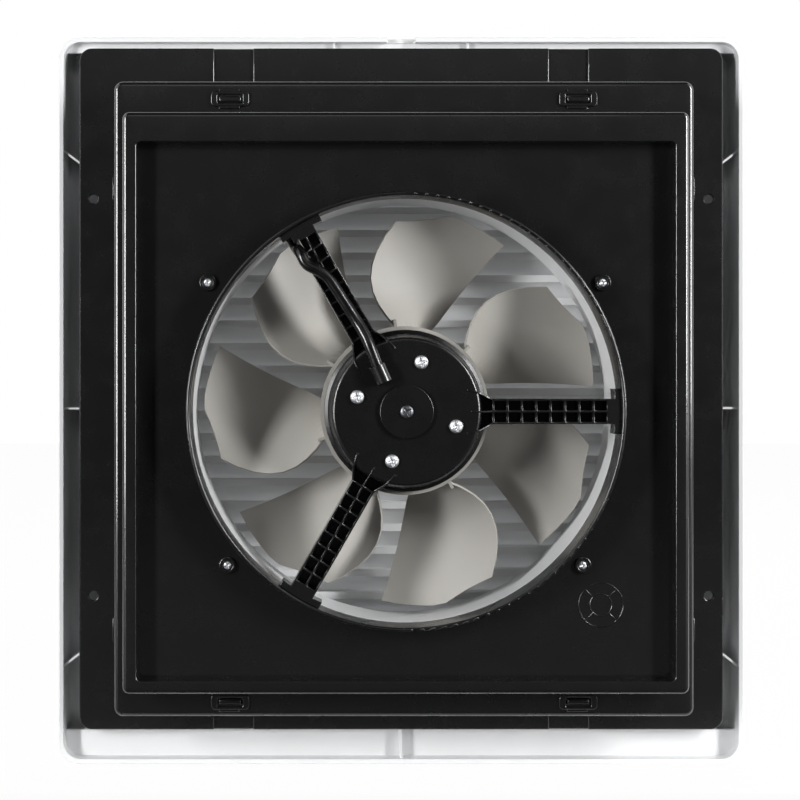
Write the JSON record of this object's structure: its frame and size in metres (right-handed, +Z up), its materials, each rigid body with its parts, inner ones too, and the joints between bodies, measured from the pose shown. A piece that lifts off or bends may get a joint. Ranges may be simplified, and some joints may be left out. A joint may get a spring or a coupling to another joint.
{
  "type": "exhaust fan",
  "caption": "Square wall exhaust fan: stepped collar with a flange, round air path, motor on three lattice arms, bladed impeller, white front cover with louvre slats",
  "frame": {"origin": "middle of the four wall screw holes, on the rear face of the flange, which is the plane that meets the wall", "axes": "+Z up; +X to the right when looking at the rear of the fan; +Y towards the room, so the collar and the motor stand towards -Y"},
  "size_m": [0.438, 0.1068, 0.465],
  "materials": {
    "black_plastic": "satin moulded",
    "white_plastic": "semi-gloss moulded",
    "taupe_plastic": "semi-gloss moulded, glass filled",
    "screw_steel": "zinc plated",
    "dull_steel": "dull zinc plated",
    "motor_case": "die cast",
    "lamination": "stamped electrical steel",
    "copper": "enamelled copper wire",
    "bronze": "sintered, oil filled",
    "felt": "oiled felt",
    "cable_sleeve": "glossy sleeve",
    "grommet": "soft rubber",
    "cream_plastic": "moulded",
    "contact_brass": "plain",
    "capacitor_case": "moulded case",
    "washer_plastic": "moulded"
  },
  "bodies": {
    "frame": {"mounting_frame": "black_plastic", "fan_housing": "black_plastic", "fan_ring": "black_plastic", "intake_duct": "white_plastic", "front_cover": "white_plastic", "louvre_grille": "white_plastic", "motor_spider": "black_plastic", "panel_screws": "screw_steel", "motor_screws": "screw_steel", "centre_screw": "dull_steel", "motor_rear_shell": "motor_case", "motor_front_shell": "motor_case", "motor_bolts": "dull_steel", "stator_core": "lamination", "stator_windings": "copper", "rear_bush": "bronze", "front_bush": "bronze", "bush_retainers": "dull_steel", "oil_felts": "felt", "motor_cable": "cable_sleeve", "cable_grommets": "grommet", "terminal_box": "black_plastic", "terminal_lid": "black_plastic", "terminal_block": "cream_plastic", "terminal_contacts": "contact_brass", "capacitor": "capacitor_case", "supply_gland": "black_plastic", "box_screws": "screw_steel", "lid_screws": "screw_steel"},
    "rotor": {"impeller": "taupe_plastic", "impeller_insert": "contact_brass", "impeller_nut": "taupe_plastic", "motor_shaft": "dull_steel", "rotor_core": "lamination", "rotor_cage": "motor_case", "thrust_washers": "washer_plastic"}
  },
  "joints": [
    {"name": "impeller_spin", "type": "hinge", "parent": "frame", "child": "rotor", "pos_m": [0, 0, -0.007], "axis": [0, -1, 0], "continuous": true}
  ]
}
